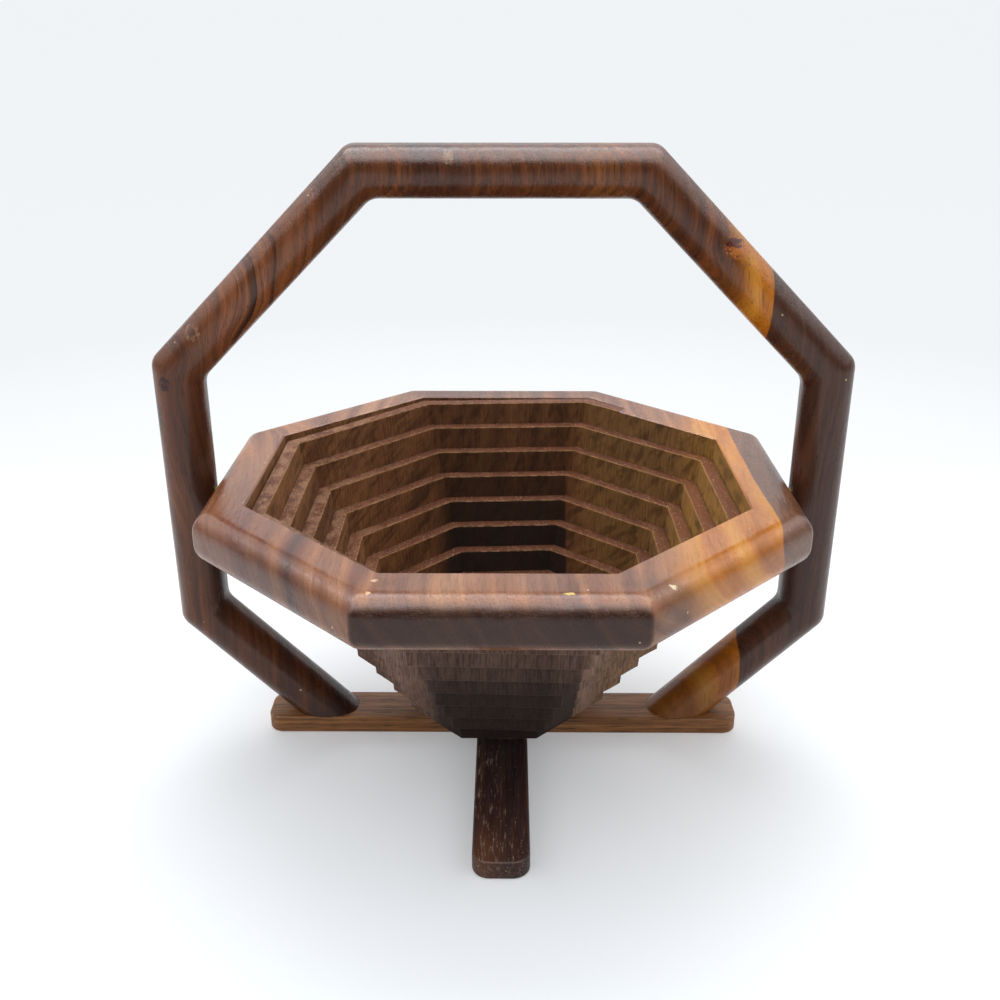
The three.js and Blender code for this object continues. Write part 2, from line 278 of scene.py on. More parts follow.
# The board's rings and figure
LACQUERED_TILT = 0.5
SAWN_TILT = -0.42
RINGS_IN_A_MILLIMETRE = 0.14
RING_UNEVENNESS = 3
LATE_SHARPNESS = 5
ARCHED_PLACE = (-98, 82)
ARCHED_REACH = (30, 38)
SAPWOOD_BEND_SHARE = 0.6
SAPWOOD_LEAN = 0.4
SAPWOOD_LINE_SHARE = 0.3
SAPWOOD_END_AND_SHADE_SHARE = 0.5
LINE_STRENGTHS = (0.4, 0.65, 0.4, 0.45)
PORE_STRENGTH = 0.4
BANDS_IN_LEDGE_SHARE = 0.45
SAWN_END_SHARPNESS = 4

# The sawn walls' flames, dark zone, end grain and saw marks, as (strength inside, outside, colour)
WALL_LAYERS = ((0.5, 0.25, "2e1b10"), (0.96, 0.86, "120807"), (0.25, 0.25, "2c2019"), (0.4, 0.6, "24150d"))

# Finish: relief in millimetres, roughness and gloss
PORE_RELIEF = -0.05
LINE_RELIEF = -0.03
HAND_RELIEF = 1.1
SAW_MARK_RELIEF = 0.3
GRIT_RELIEF = 0.5
FOOT_PORE_RELIEF = -0.15
DOWEL_RELIEF = 0.2
LACQUER_SPECULAR = 0.35
SAWN_SPECULAR = 0.18
FOOT_SPECULAR = 0.3
FOOT_ROUGHNESS = 0.5
DOWEL_ROUGHNESS = 0.45
FOOT_BAR_SCUFFS = 0.15
CROSS_FOOT_SCUFFS = 0.7

# How dark the faces across the grain are made, from end grain and, on the rim, from painted shade on its
# front face, and how far dark lines show
FRAME_DARKNESS = (0.1, 1)
RIM_DARKNESS = (0.9, 0.4)

# Camera, as the photograph was taken
CAMERA_PLACE = (2.2 * MM, -460.25 * MM, 308.28 * MM)
CAMERA_PITCH = 22.6017
CAMERA_YAW = 0.4216
CAMERA_LENS = 39.815
SENSOR_WIDTH = 36

# Studio
SWEEP_WIDTH = 9
SWEEP_FRONT = 3
SWEEP_BACK = 1.7
SWEEP_ROUND = 0.6
SWEEP_HEIGHT = 0.8
SWEEP_STEPS = 24
SWEEP_ROUGHNESS = 0.9
NEAR_COLOUR = "eef0f1"
FAR_COLOUR = "262727"
GLOW_COLOUR = "f4f7fa"
NEAR_GLOW = 0.2
MIDDLE_GLOW = 1.06
FAR_GLOW = 0.945
GLOW_STEP = (0.4, 0.95)
ASIDE_STEP = (0.9, 1.8)
DEPTH_EDGES = ((-0.05, 0.4), (-0.9, -1.8))
STUDIO_COLOUR = "f2f6fa"
FRONT_STRENGTH = 0.5
FRONT_GLOSS_STRENGTH = 0.12
LOW_BACK_GLOSS_STRENGTH = 0.5
HIGH_BACK_GLOSS_STRENGTH = 2
CEILING_STRENGTH = 8.8
CEILING_LEANS = (-32, -22, 27, 61)
STRIP_STRENGTH = 12
STRIP_LEANS = (-24, -20, -12, -8)
BACK_STRENGTH = 1.2
BACKGROUND_STRENGTH = 0.98
LAMP_WIDTH_STEP = (0.6, 0.85, 1, 0)
BACK_STEP = (-0.6, 0.1)
BACK_LEAN = 0.8
HIGH_STEP = (0.25, 0.42)

# Lights, as (name, size, power, place)
LIGHTS = (("overhead", (1.8, 1), 11, (0, 0.9, 1.8)), ("backlight", (3.2, 0.9), 11, (0, 2.1, 1.45)))


# Plan geometry of the spiral cut


def plan_point(azimuth, out, along):
    """The point of a side's line: so far out from the middle, and so far along the side."""
    x = out * math.cos(azimuth) - along * math.sin(azimuth)
    y = out * math.sin(azimuth) + along * math.cos(azimuth)
    return np.array((x, y))


def side_azimuth(i):
    return SIDE_ANGLE * (i + 1)


def side_apothem(i):
    return SPIRAL_START - SPIRAL_PITCH * i / SIDES


def corner_along(here, following):
    """How far along a side its corner with the next side lies."""
    return (following - here * math.cos(SIDE_ANGLE)) / math.sin(SIDE_ANGLE)


def corner_point(i, inset):
    here = side_apothem(i) - inset
    following = side_apothem(i + 1) - inset
    return plan_point(side_azimuth(i), here, corner_along(here, following))


def seam_point(i, inset):
    here = side_apothem(i) - inset
    return plan_point(side_azimuth(i), here, here * SEAM_TANGENT)


def turns_at_corner(i):
    return (i + 1 - SEAM_SHARE) / SIDES


def coil_top(turns):
    return RIM_TOP - TURN_DROP * turns


def wander(turns):
    """How far the saw strayed from its line, the same for both walls of the cut."""
    waves = [math.sin(turns * rate + start) for rate, start in WANDER_WAVES]
    return SAW_WANDER * sum(waves) / len(waves)


# Meshes


def add_object(name, data):
    thing = bpy.data.objects.new(name, data)
    bpy.context.scene.collection.objects.link(thing)
    return thing


def make_mesh(name, points, faces):
    mesh = bpy.data.meshes.new(name)
    mesh.from_pydata([tuple(p) for p in points], [], [tuple(f) for f in faces])
    mesh.validate()
    return mesh


def cut_away(mesh, cutters):
    """The mesh with the space of each cutter's mesh taken out of it."""
    piece = add_object(mesh.name, mesh)
    tools = []
    for cutter in cutters:
        tool = add_object(cutter.name, cutter)
        modifier = piece.modifiers.new("cut", "BOOLEAN")
        modifier.object = tool
        modifier.solver = "EXACT"
        tools.append(tool)
    graph = bpy.context.evaluated_depsgraph_get()
    result = bpy.data.meshes.new_from_object(piece.evaluated_get(graph))
    for spare in [piece, *tools]:
        bpy.data.objects.remove(spare)
    return result


def corner_places(mesh):
    places = np.zeros(len(mesh.vertices) * 3, np.float32)
    mesh.vertices.foreach_get("co", places)
    return places.reshape(-1, 3)


def make_piece(name, mesh, board, axes=(0, 1, 2), smooth_angle=SMOOTH_ANGLE):
    """A mesh object. board gives, for each point, where it lies in the board that it is cut from.
    axes says which axis of the piece is the board's X, its Y, along the grain, and its thickness."""
    store_vectors(mesh, "board", board, "POINT")
    mesh.shade_smooth()
    mesh.set_sharp_from_angle(angle=math.radians(smooth_angle))
    normals = np.zeros(len(mesh.loops) * 3, np.float32)
    mesh.corner_normals.foreach_get("vector", normals)
    store_vectors(mesh, "board_normal", normals.reshape(-1, 3)[:, axes], "CORNER")
    return add_object(name, mesh)


def store_vectors(mesh, name, vectors, domain):
    layer = mesh.attributes.new(name, "FLOAT_VECTOR", domain)
    layer.data.foreach_set("vector", np.asarray(vectors, np.float32).ravel())


def loft_faces(rows, columns):
    """Quads between rows of points, with both ends capped."""
    faces = []
    for row in range(rows - 1):
        here = row * columns
        following = here + columns
        for column in range(columns):
            beside = (column + 1) % columns
            faces.append((here + column, here + beside, following + beside, following + column))
    faces.append(tuple(reversed(range(columns))))
    faces.append(tuple(range((rows - 1) * columns, rows * columns)))
    return faces


# Lines round the sides


def track(azimuths, apothems, radius, first_along, last_along):
    """The plan points of one line along the sides, its corners rounded. All tracks have as many points."""
    points = []
    start = first_along
    for n, (azimuth, out) in enumerate(zip(azimuths, apothems)):
        turning = n + 1 < len(azimuths)
        end = last_along
        if turning:
            following = apothems[n + 1]
            end = corner_along(out, following) - radius * HALF_TANGENT
        for row in range(SIDE_ROWS + 1):
            points.append(plan_point(azimuth, out, start + (end - start) * row / SIDE_ROWS))
        if turning:
            centre = plan_point(azimuth, out - radius, end)
            for step in range(1, CORNER_STEPS):
                angle = azimuth + SIDE_ANGLE * step / CORNER_STEPS
                points.append(centre + plan_point(angle, radius, 0))
            start = radius * HALF_TANGENT - corner_along(following, out)
    return points


def arc(steps):
    """Points of a quarter turn, from (1, 0) to (0, 1)."""
    angles = [math.pi / 2 * step / steps for step in range(steps + 1)]
    return [(math.cos(angle), math.sin(angle)) for angle in angles]


def rounded_box(low, high, half_width, radius, steps):
    """The outline of a box from low to high, with quarter rounds at its four corners."""
    low += radius
    high -= radius
    half_width -= radius
    quarter = arc(steps)
    outline = [(high + radius * c, half_width + radius * s) for c, s in quarter]
    outline += [(low - radius * s, half_width + radius * c) for c, s in quarter]
    outline += [(low - radius * c, -half_width - radius * s) for c, s in quarter]
    outline += [(high + radius * s, -half_width - radius * c) for c, s in quarter]
    return outline


# Handle frame


def frame_profile():
    """The bar's section as (apothem, depth)."""
    inner = FRAME_APOTHEM - FRAME_BAR_WIDTH
    return rounded_box(inner, FRAME_APOTHEM, THICKNESS / 2, FRAME_ROUND, ROUND_STEPS)


def leg_along(azimuth, out):
    """How far along a leg's line the feet's top is."""
    return (FOOT_TOP - PIVOT - out * math.sin(azimuth)) / math.cos(azimuth)


def make_handle():
    azimuths = [SIDE_ANGLE * (n - 1) for n in range(SIDES - 1)]
    profile = frame_profile()
    tracks = []
    for out, depth in profile:
        share = (FRAME_APOTHEM - out) / FRAME_BAR_WIDTH
        radius = OUTSIDE_CORNER_ROUND + (INSIDE_CORNER_ROUND - OUTSIDE_CORNER_ROUND) * share
        ends = [leg_along(azimuth, out) for azimuth in (azimuths[0], azimuths[-1])]
        line = track(azimuths, [out] * len(azimuths), radius, *ends)
        tracks.append([(x, depth, PIVOT + z) for x, z in line])
    rows = len(tracks[0])
    points = [line[row] for row in range(rows) for line in tracks]
    mesh = make_mesh("handle", points, loft_faces(rows, len(profile)))
    cutters = [pin_space(side) for side in (-1, 1)]
    cutters += [screw_space(side * LEG_SCREW_PLACE, LEG_SCREW_TOP) for side in (-1, 1)]
    mesh = cut_away(mesh, cutters)
    board = corner_places(mesh)[:, (0, 2, 1)] - (0, PIVOT, 0)
    return make_piece("handle", mesh, board, (0, 2, 1))


# Rim


def rim_profile():
    """The rim's section: points outside and on its inner wall, as (is inner, apothem or inset, depth)."""
    quarter = arc(ROUND_STEPS)
    outer = RIM_APOTHEM - RIM_ROUND
    top = [(False, outer + RIM_ROUND * s, RIM_ROUND * (1 - c)) for c, s in quarter]
    low = [(False, outer + RIM_ROUND * c, THICKNESS - RIM_ROUND * (1 - s)) for c, s in quarter]
    depths = (THICKNESS, THICKNESS - COIL_EASE, RIM_LIP_EASE, 0)
    eases = (COIL_EASE, 0, 0, RIM_LIP_EASE)
    wall = [
        (True, depth * BEVEL_TANGENT - SAW_KERF / 2 - ease, depth)
        for depth, ease in zip(depths, eases)
    ]
    return top + low + wall


def make_rim():
    """The last row's outside is the first row's, and a step closes the inner wall where the spiral begins."""
    azimuths = [side_azimuth(i) for i in range(SIDES + 1)]
    tracks = []
    profile = rim_profile()
    for is_inner, size, depth in profile:
        if is_inner:
            apothems = [side_apothem(i) - size for i in range(SIDES + 1)]
            radius = COIL_EASE
        else:
            apothems = [size] * (SIDES + 1)
            radius = RIM_CORNER_ROUND
        ends = [out * SEAM_TANGENT for out in (apothems[0], apothems[-1])]
        line = track(azimuths, apothems, radius, *ends)
        tracks.append([(x, y, RIM_TOP - depth) for x, y in line])
    rows = len(tracks[0])
    columns = len(profile)
    points = [line[row] for row in range(rows) for line in tracks]
    faces = loft_faces(rows, columns)[:-2]
    last = (rows - 1) * columns
    outside = [n for n, (is_inner, _, _) in enumerate(profile) if not is_inner]
    inside = [n for n, (is_inner, _, _) in enumerate(profile) if is_inner]
    merged = {last + n: n for n in outside}
    faces = [tuple(merged.get(v, v) for v in face) for face in faces]
    step = [outside[-1]] + [last + n for n in inside] + [outside[0]] + list(reversed(inside))
    faces.append(tuple(step))
    mesh = make_mesh("rim_board", points, faces)
    drop_loose(mesh)
    mesh = cut_away(mesh, [pin_space(-1), pin_space(1)])
    return make_piece("rim_board", mesh, corner_places(mesh) - (0, 0, RIM_TOP))


def give_wall(rim, material):
    """Gives the rim's inner wall, which the saw left, its own material."""
    wall = len(rim.data.materials)
    rim.data.materials.append(material)
    for face in rim.data.polygons:
        inwards = face.normal.dot(face.center) < -abs(face.normal.z) * face.center.length
        if inwards and abs(face.normal.z) < WALL_STEEPNESS:
            face.material_index = wall


def drop_loose(mesh):
    """Takes out the points that no face uses."""
    work = bmesh.new()
    work.from_mesh(mesh)
    loose = [v for v in work.verts if not v.link_faces]
    bmesh.ops.delete(work, geom=loose, context="VERTS")
    work.to_mesh(mesh)
    work.free()


# Pins, and the spaces that pins and screws take


def turned(name, profile):
    """A round solid about the Z axis. profile is its outline from one end to the other, as (radius, z)."""
    angles = [2 * math.pi * n / PIN_SIDES for n in range(PIN_SIDES)]
    points = [(r * math.cos(a), r * math.sin(a), z) for r, z in profile for a in angles]
    return make_mesh(name, points, loft_faces(len(profile), PIN_SIDES))


def lay_along_x(mesh, side):
    """Turns a round solid from the Z axis to the pivot's line, towards one side."""
    mesh.transform(Matrix.Rotation(side * math.pi / 2, 4, "Y"))
    mesh.transform(Matrix.Translation((0, 0, PIVOT)))
    return mesh


def pin_space(side):
    radius = PIN_RADIUS + CLEARANCE
    profile = ((radius, PIN_INNER_END - CLEARANCE), (radius, PIN_OUTER_END + THICKNESS))
    return lay_along_x(turned("pin_space", profile), side)


def screw_space(x, top):
    """A countersunk screw's hole, with its head at the floor."""
    head = SCREW_HEAD_RADIUS + CLEARANCE
    shank = SCREW_SHANK_RADIUS + CLEARANCE
    profile = (
        (head, -THICKNESS),
        (head, 0),
        (shank, SCREW_HEAD_HEIGHT + CLEARANCE),
        (shank, top + CLEARANCE),
    )
    mesh = turned("screw_space", profile)
    mesh.transform(Matrix.Translation((x, 0, 0)))
    return mesh


def make_pin(name, side):
    """A dowel with eased ends, a little proud of the frame."""
    quarter = arc(EASE_STEPS)
    outer = PIN_OUTER_END + PIN_PROUD
    profile = [(PIN_RADIUS - PIN_EASE * c, PIN_INNER_END + PIN_EASE * (1 - s)) for c, s in quarter]
    profile += [(PIN_RADIUS - PIN_EASE * (1 - c), outer - PIN_EASE * (1 - s)) for c, s in quarter]
    mesh = lay_along_x(turned(name, profile), side)
    return make_piece(name, mesh, corner_places(mesh)[:, (1, 0, 2)] - (0, 0, PIVOT), (1, 0, 2))


# Coil


def wall_profile(side):
    """A sawn wall's section with eased edges, as (inset, depth). side is 1 where wood lies further in."""
    depths = (0, COIL_EASE, THICKNESS - COIL_EASE, THICKNESS)
    eases = (COIL_EASE, 0, 0, COIL_EASE)
    return [
        (depth * BEVEL_TANGENT + side * (SAW_KERF / 2 + ease), depth)
        for depth, ease in zip(depths, eases)
    ]


def strip_profile():
    """The strip's section, as (wall, inset, depth). Wall 0 faces out, wall 1 is one turn further in."""
    outside = [(0, *point) for point in wall_profile(1)]
    inside = [(1, *point) for point in wall_profile(-1)]
    return outside + inside[::-1]


def stretch_ends(i, inset, first, last):
    start = seam_point(i, inset) if i % SIDES == 0 and first else corner_point(i - 1, inset)
    end = seam_point(i, inset) if last else corner_point(i, inset)
    return start, end


def make_stretch(turn, i, first, last):
    """The coil's strip along one side, with the turns of the cut at its two ends."""
    start_turns = i / SIDES if first else turns_at_corner(i - 1)
    end_turns = i / SIDES if last else turns_at_corner(i)
    profile = strip_profile()
    points = []
    board = []
    for row in range(STRETCH_ROWS + 1):
        share = row / STRETCH_ROWS
        turns = start_turns + (end_turns - start_turns) * share
        top = coil_top(turns)
        for wall, inset, depth in profile:
            strayed = inset + wander(turns + wall)
            start, end = stretch_ends(i + wall * SIDES, strayed, first, last)
            x, y = start + (end - start) * share
            points.append((x, y, top - depth))
            board.append((x, y, -depth))
    name = f"coil_{turn}_side_{i % SIDES + 1}" + ("_end" if last else "")
    mesh = make_mesh(name, points, loft_faces(STRETCH_ROWS + 1, len(profile)))
    return make_piece(name, mesh, board, smooth_angle=COIL_SMOOTH_ANGLE), start_turns, end_turns


def bend_stretch(piece):
    """Bakes a stretch's placement into its mesh."""
    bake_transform(piece)


def make_coil(material):
    for turn in range(1, TURN_COUNT + 1):
        first_side = (turn - 1) * SIDES
        last_side = min(turn * SIDES, LAST_SIDE)
        for i in range(first_side, last_side + 1):
            first = i == first_side
            last = i == last_side
            piece, start_turns, end_turns = make_stretch(turn, i, first, last)
            dress(piece, material, "coil_wood", f"coil_turn_{turn}")
            bend_stretch(piece)


def make_bottom():
    """The plug that the cut leaves in the middle, with its last half turn and the one before as outline."""
    points = []
    profile = wall_profile(1)
    top = coil_top(COIL_TURNS)
    for inset, depth in profile:
        outline = [seam_point(LAST_SIDE, inset)]
        outline += [corner_point(i, inset) for i in range(LAST_SIDE, LAST_SIDE + SIDES)]
        outline.append(seam_point(LAST_SIDE + SIDES, inset))
        points += [(x, y, top - depth) for x, y in outline]
    mesh = make_mesh("bottom_board", points, loft_faces(len(profile), len(outline)))
    board = corner_places(mesh) - (0, 0, top)
    return make_piece("bottom_board", mesh, board, smooth_angle=COIL_SMOOTH_ANGLE)


# Feet


def make_foot(name, is_upper):
    quarter = arc(EASE_STEPS)
    low = [(FOOT_EASE * (1 - s), FOOT_EASE * (1 - c)) for c, s in quarter]
    high = [(FOOT_EASE * (1 - c), FOOT_TOP - FOOT_EASE * (1 - s)) for c, s in quarter]
    levels = low + high
    points = []
    for inset, z in levels:
        end = FOOT_LENGTH / 2 - inset
        radius = FOOT_END_ROUND - inset
        outline = rounded_box(-end, end, FOOT_WIDTH / 2 - inset, radius, PLAN_ROUND_STEPS)
        points += [(x, y, z) for x, y in outline]
    mesh = make_mesh(name, points, loft_faces(len(levels), len(outline)))
    cutters = [lap_notch(is_upper), screw_space(0, LAP_SCREW_TOP)]
    if is_upper:
        cutters += [screw_space(side * LEG_SCREW_PLACE, LEG_SCREW_TOP) for side in (-1, 1)]
    mesh = cut_away(mesh, cutters)
    board = corner_places(mesh)[:, (1, 0, 2)]
    if is_upper:
        return make_piece(name, mesh, board, (1, 0, 2))
    mesh.transform(Matrix.Rotation(math.pi / 2, 4, "Z"))
    return make_piece(name, mesh, board)


def lap_notch(is_upper):
    """Half of the crossing's height, under the upper bar and over the lower one."""
    x = FOOT_WIDTH / 2 + CLEARANCE
    y = FOOT_WIDTH
    plan = ((-x, -y), (x, -y), (x, y), (-x, y))
    side = -1 if is_upper else 1
    levels = sorted((side * THICKNESS, (FOOT_TOP - side * CLEARANCE) / 2))
    points = [(*corner, z) for z in levels for corner in plan]
    return make_mesh("lap_notch", points, loft_faces(len(levels), len(plan)))


# Materials


def colour(code):
    """A colour from its six-figure sRGB code, as linear values."""
    shades = [shade / 255 for shade in bytes.fromhex(code)]
    return (*Color(shades).from_srgb_to_scene_linear(), 1)


class Graph:
    """A shader's nodes, added by short calls that return sockets."""

    def __init__(self, tree):
        self.tree = tree

    def shade(self, key, value):
        """Gives the surface shader's input a colour, a number or a socket."""
        self.give(self.tree.nodes["Principled BSDF"].inputs[key], value)

    def add(self, kind, values, **settings):
        node = self.tree.nodes.new(kind)
        for key, value in settings.items():
            setattr(node, key, value)
        for key, value in values.items():
            self.give(node.inputs[key], value)
        return node

    def give(self, socket, value):
        if isinstance(value, bpy.types.NodeSocket):
            self.tree.links.new(value, socket)
        else:
            socket.default_value = value

    def stored(self, name):
        return self.add("ShaderNodeAttribute", {}, attribute_name=name).outputs["Vector"]

    def position(self):
        return self.add("ShaderNodeNewGeometry", {}).outputs["Position"]

    def split(self, vector):
        return self.add("ShaderNodeSeparateXYZ", {"Vector": vector}).outputs

    def join(self, x, y, z):
        return self.add("ShaderNodeCombineXYZ", {"X": x, "Y": y, "Z": z}).outputs[0]

    def scaled(self, vector, scale):
        node = self.add("ShaderNodeVectorMath", {0: vector, 1: scale}, operation="MULTIPLY")
        return node.outputs[0]

    def calculate(self, operation, *values):
        return self.add("ShaderNodeMath", dict(enumerate(values)), operation=operation).outputs[0]

    def sum(self, a, b):
        return self.calculate("ADD", a, b)

    def product(self, a, b):
        return self.calculate("MULTIPLY", a, b)

    def power(self, a, b):
        return self.calculate("POWER", a, b)

    def fraction(self, a):
        return self.calculate("FRACT", a)

    def absolute(self, a):
        return self.calculate("ABSOLUTE", a)

    def arctangent(self, a, b):
        return self.calculate("ARCTAN2", a, b)

    def window(self, angle, edges):
        """1 between the second and third edge and 0 outside the first and last, which are in degrees."""
        begin, full, still, end = (math.radians(edge) for edge in edges)
        return self.product(self.smooth(angle, begin, full), self.smooth(angle, still, end, 1, 0))

    def noise(self, place, detail, roughness, *step, distortion=0):
        """Noise, brought to a step where one is given."""
        values = {"Vector": place, "Scale": 1, "Detail": detail, "Roughness": roughness}
        node = self.add("ShaderNodeTexNoise", {**values, "Distortion": distortion})
        return self.smooth(node.outputs[0], *step) if step else node.outputs[0]

    def grain(self, place, waves, *look, distortion=0):
        """Noise with so many waves in a unit along each axis."""
        return self.noise(self.scaled(place, waves), *look, distortion=distortion)

    def smooth(self, value, low, high, to_low=0, to_high=1):
        """From to_low where the value is at most low to to_high where it is at least high."""
        values = {"Value": value, 1: low, 2: high, 3: to_low, 4: to_high}
        node = self.add("ShaderNodeMapRange", values, interpolation_type="SMOOTHSTEP")
        return node.outputs[0]

    def ramp(self, value, stops):
        node = self.add("ShaderNodeValToRGB", {"Fac": value})
        band = node.color_ramp
        for n, (place, code) in enumerate(stops):
            stop = band.elements[n] if n < 2 else band.elements.new(place)
            stop.position = place
            stop.color = colour(code)
        return node.outputs["Color"]

    def blend(self, share, a, b, kind="FLOAT"):
        """A number between a and b."""
        node = self.add("ShaderNodeMix", {}, data_type=kind)
        for key, value in (("Factor", share), ("A", a), ("B", b)):
            self.give(node.inputs[key], value)
        return node.outputs["Result"]

    def mix(self, share, a, b):
        """A colour between a and b."""
        return self.blend(share, a, b, "RGBA")

    def stain(self, wood, share, strength, code):
        """Wood with another colour over a share of it, no stronger than the strength."""
        return self.mix(self.product(share, strength), wood, colour(code))

    def hump(self, place, centre, reach):
        """1 at a centre, falling smoothly to 0 round it. place is the sockets of the point's coordinates."""
        total = 0
        for here, middle, far in zip(place, centre, reach):
            total = self.sum(total, self.power(self.product(self.sum(here, -middle), 1 / far), 2))
        return self.power(math.e, self.product(total, -1))

    def specks(self, place, cell, share, reach):
        """Dots in a share of the cells of the given width in millimetres."""
        values = {"Vector": self.scaled(place, (1 / cell,) * 3), "Scale": 1, "Randomness": 1}
        node = self.add("ShaderNodeTexVoronoi", values)
        near = self.smooth(node.outputs["Distance"], reach * DOT_CORE_SHARE, reach, 1, 0)
        drawn = self.split(node.outputs["Color"])[0]
        return self.product(near, self.smooth(drawn, share, share + DOT_CHOICE_EDGE, 1, 0))

    def relief(self, *parts):
        """Gives the surface bumps. Each part is a height and how many millimetres it stands for."""
        total = 0
        for height, millimetres in parts:
            total = self.sum(total, self.product(height, millimetres))
        values = {"Height": total, "Distance": MM, "Strength": 1}
        self.shade("Normal", self.add("ShaderNodeBump", values).outputs[0])


def new_material(name):
    material = bpy.data.materials.new(name)
    material.use_nodes = True
    return material, Graph(material.node_tree)


def in_board(graph):
    """Where a point lies in its board, in millimetres."""
    return graph.scaled(graph.stored("board"), (1 / MM,) * 3)


class Board:
    """What the board's wood does at each place: its growth rings, lines and pores, and its zones."""

    def __init__(self, graph, tilt, streaks):
        self.graph = graph
        self.place = in_board(graph)
        self.x, self.y, self.z = graph.split(self.place)
        self.wobble = graph.grain(self.place, *WOBBLE)
        self.bend = graph.sum(graph.grain(self.place, *DRIFT), graph.smooth(self.wobble, *WOBBLE_BEND))
        self.ring = self.across_rings(tilt)
        self.bands = self.along_rings(*streaks)
        self.lines = self.along_rings(*LINES)
        self.pores = graph.grain(self.place, *PORES)

    def across_rings(self, tilt):
        """How far across the growth rings a point lies."""
        graph = self.graph
        ring = graph.sum(graph.sum(self.x, self.bend), graph.product(self.z, tilt))
        for x, y, width, height in SWELLS:
            swell = graph.hump((self.x, self.y), (x, y), (width, width))
            ring = graph.sum(ring, graph.product(swell, height))
        return ring

    def along_rings(self, across, along, start, *look):
        """Noise that is stretched along the growth rings."""
        graph = self.graph
        place = graph.join(graph.product(self.ring, across), graph.product(self.y, along), start)
        return graph.noise(place, *look)

    def late_wood(self):
        """Thin dark lines at the rings' edges, strongest in the arched figure."""
        graph = self.graph
        even = graph.product(self.ring, RINGS_IN_A_MILLIMETRE)
        phase = graph.sum(even, graph.product(self.bands, RING_UNEVENNESS))
        late = graph.power(graph.fraction(phase), LATE_SHARPNESS)
        arched = graph.hump((self.x, self.y), ARCHED_PLACE, ARCHED_REACH)
        return graph.product(late, graph.sum(self.along_rings(*LATE_STRENGTH), arched))

    def dashes(self):
        """Short dark dashes near the board's middle."""
        graph = self.graph
        zone = graph.smooth(graph.absolute(self.x), *DASH_ZONE)
        return graph.product(graph.grain(self.place, *DASHES), zone)

    def edge(self):
        """Dark wood at the board's right edge."""
        graph = self.graph
        curve = graph.smooth(graph.absolute(self.y), *EDGE_CURVE)
        wavering = graph.sum(graph.smooth(self.wobble, *EDGE_WAVER), curve)
        return graph.smooth(graph.sum(self.x, wavering), *EDGE_STEP)

    def golden(self):
        """The sapwood and all that lies to the right of it."""
        graph = self.graph
        bent = graph.sum(self.x, graph.product(self.bend, SAPWOOD_BEND_SHARE))
        into = graph.sum(bent, graph.smooth(self.y, *SAPWOOD_START))
        return graph.smooth(graph.sum(into, graph.product(self.z, SAPWOOD_LEAN)), *SAPWOOD_STEP)

    def dark_zone(self):
        """Nearly black wood across the middle of the coil."""
        graph = self.graph
        left = graph.smooth(self.x, *DARK_LEFT_STEP)
        right = graph.smooth(self.x, *DARK_RIGHT_STEP)
        reach = graph.smooth(graph.absolute(self.y), *DARK_REACH)
        return graph.product(graph.product(left, right), reach)


def toned(graph, place, wood, tones):
    """Wood with soft patches of other colours. place is the sockets of x, y and z."""
    for x, y, wide, long, code, strength in tones:
        wood = graph.stain(wood, graph.hump(place, (x, y), (wide, long)), strength, code)
    return wood


def marked(graph, board, wood, marks, surface):
    """Wood with small uneven marks near one surface, which is at a depth of the board."""
    uneven = graph.grain(board.place, *MARK_UNEVENNESS)
    for x, y, wide, long, code in marks:
        near = graph.hump((board.x, board.y, board.z), (x, y, surface), (wide, long, MARK_DEPTH))
        wood = graph.mix(graph.smooth(graph.product(near, uneven), *MARK_STEP), wood, colour(code))
    return wood


def walnut_colour(graph, board, golden, bands, tones, contrast):
    """Heartwood streaks along the board's Y, golden sapwood and dark wood beyond it.
    contrast is how far the dark lines show."""
    heart = graph.ramp(board.bands, bands)
    sap = graph.ramp(board.along_rings(*SAPWOOD), SAPWOOD_BANDS)
    sap = graph.stain(sap, graph.specks(board.place, *PITS), *PIT_STAIN)
    edge = board.edge()
    pale = graph.product(golden, graph.smooth(edge, *DOWNWARDS))
    wood = graph.stain(graph.mix(pale, heart, sap), edge, *EDGE_STAIN)
    wood = toned(graph, (board.x, board.y, board.z), wood, tones)
    shown = graph.smooth(pale, 0, 1, contrast, contrast * SAPWOOD_LINE_SHARE)
    dark = graph.mix(pale, colour(HEART_LINE_COLOUR), colour(SAPWOOD_LINE_COLOUR))
    layers = (board.along_rings(*STRIPES), board.late_wood(), board.lines, board.dashes())
    for lines, strength in zip(layers, LINE_STRENGTHS):
        wood = graph.mix(graph.product(graph.product(lines, strength), shown), wood, dark)
    return wood


